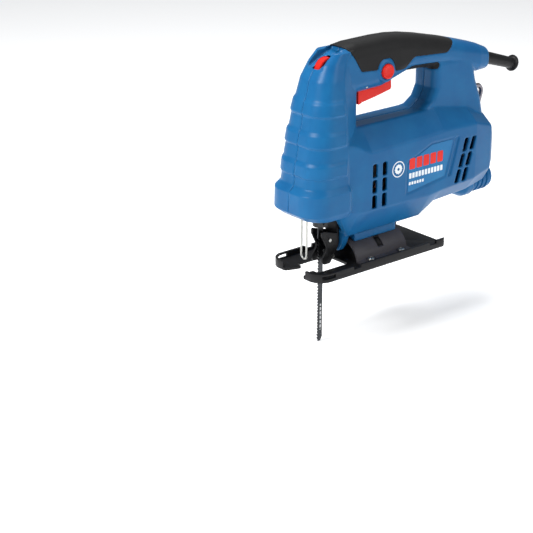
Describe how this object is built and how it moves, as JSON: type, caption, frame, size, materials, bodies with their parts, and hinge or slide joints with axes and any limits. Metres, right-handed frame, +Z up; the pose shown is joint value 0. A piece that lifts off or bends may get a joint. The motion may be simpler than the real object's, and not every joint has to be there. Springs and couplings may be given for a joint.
{
  "type": "jigsaw",
  "caption": "Corded hand-held jigsaw with a closed handle, a motor-driven upright plunger and saw blade, a guide roller, and a steel sole that tilts for bevel cuts.",
  "frame": {"origin": "middle of the underside of the sole", "axes": "+Z up out of the sole, -X the way the saw cuts, +X towards the cord, +Y towards the side with the screw heads"},
  "size_m": [0.2882, 0.07, 0.2805],
  "materials": {
    "black_steel": "satin black",
    "grey_steel": "satin dark grey",
    "bright_steel": "plated",
    "blue_shell": "fine satin",
    "black_rubber": "matt, fine grain",
    "case_metal": "die cast",
    "bronze": "sintered",
    "bearing_steel": "ground",
    "copper": "enamelled",
    "copper_bars": "turned",
    "lamination": "stacked sheet",
    "brass_parts": "stamped",
    "carbon": "matt",
    "black_plastic": "matt",
    "yellow_plastic": "gloss",
    "blue_port": "matt",
    "label": "printed film",
    "gear_steel": "hardened",
    "blade_steel": "ground",
    "red_plastic": "satin",
    "key_steel": "phosphate grey"
  },
  "bodies": {
    "sole": {"sole_plate": "black_steel", "tilt_saddle": "grey_steel", "saddle_bolts": "bright_steel"},
    "housing": {"housing_left": "blue_shell", "housing_right": "blue_shell", "handle_grip": "black_rubber", "handle_pad": "black_rubber", "housing_screws": "bright_steel", "gear_case": "case_metal", "plunger_bush_upper": "bronze", "plunger_bush_lower": "bronze", "gear_axle": "bright_steel", "front_bearing": "bearing_steel", "rear_bearing": "bearing_steel", "field_coils": "copper", "stator_core": "lamination", "brush_holders": "brass_parts", "carbon_brushes": "carbon", "brush_springs": "bright_steel", "switch_module": "black_plastic", "speed_module": "black_plastic", "suppressor": "yellow_plastic", "dial_axle": "bright_steel", "trigger_pin": "bright_steel", "trigger_spring": "bright_steel", "cord_bush": "black_rubber", "cord_clamp": "black_plastic", "cord_clamp_screws": "bright_steel", "dust_port": "blue_port", "dust_duct": "black_plastic", "guard_wire": "bright_steel", "roller_fork": "black_steel", "fork_pins": "bright_steel", "bevel_screw": "bright_steel", "bevel_nut": "bright_steel", "label_left": "label", "label_right": "label", "button_spring": "bright_steel"},
    "armature": {"armature_shaft": "gear_steel", "armature_core": "lamination", "armature_windings": "copper", "commutator": "copper_bars", "fan": "black_plastic"},
    "drive_wheel": {"drive_wheel": "gear_steel"},
    "plunger": {"plunger": "bright_steel", "blade_clamp": "grey_steel", "clamp_screws": "black_steel", "saw_blade": "blade_steel"},
    "guide_roller": {"guide_roller": "gear_steel"},
    "trigger": {"trigger": "red_plastic"},
    "lock_button": {"lock_button": "red_plastic"},
    "speed_dial": {"speed_dial": "red_plastic"},
    "hex_key": {"hex_key": "key_steel"}
  },
  "joints": [
    {"name": "bevel_tilt", "type": "hinge", "parent": "sole", "child": "housing", "pos_m": [0.01, 0, 0], "axis": [1, 0, 0], "range_deg": [-45, 45]},
    {"name": "armature_spin", "type": "hinge", "parent": "housing", "child": "armature", "pos_m": [0.03, 0, 0.085], "axis": [1, 0, 0], "continuous": true},
    {"name": "wheel_spin", "type": "hinge", "parent": "housing", "child": "drive_wheel", "pos_m": [-0.034, 0, 0.11], "axis": [1, 0, 0], "continuous": true},
    {"name": "plunger_stroke", "type": "slide", "parent": "housing", "child": "plunger", "axis": [0, 0, 1], "range_m": [0, 0.02]},
    {"name": "roller_spin", "type": "hinge", "parent": "housing", "child": "guide_roller", "pos_m": [-0.0397, 0, 0.011], "axis": [0, 1, 0], "continuous": true},
    {"name": "trigger_pull", "type": "hinge", "parent": "housing", "child": "trigger", "pos_m": [-0.008, 0, 0.166], "axis": [0, -1, 0], "range_deg": [0, 6], "stiffness_Nm_per_rad": 0.9, "springref_deg": -6.88, "deforming": ["trigger_spring"]},
    {"name": "button_press", "type": "slide", "parent": "housing", "child": "lock_button", "axis": [0, 1, 0], "range_m": [0, 0.003], "stiffness_N_per_m": 350, "springref_m": -0.004, "deforming": ["button_spring"]},
    {"name": "dial_turn", "type": "hinge", "parent": "housing", "child": "speed_dial", "pos_m": [-0.044, 0, 0.184], "axis": [0, 1, 0], "range_deg": [0, 280]},
    {"name": "key_pull", "type": "slide", "parent": "housing", "child": "hex_key", "axis": [0.2924, 0, 0.9563], "range_m": [0, 0.04]}
  ],
  "couplings": [
    {"joint": "wheel_spin", "follows": "armature_spin", "ratio": -0.25}
  ]
}
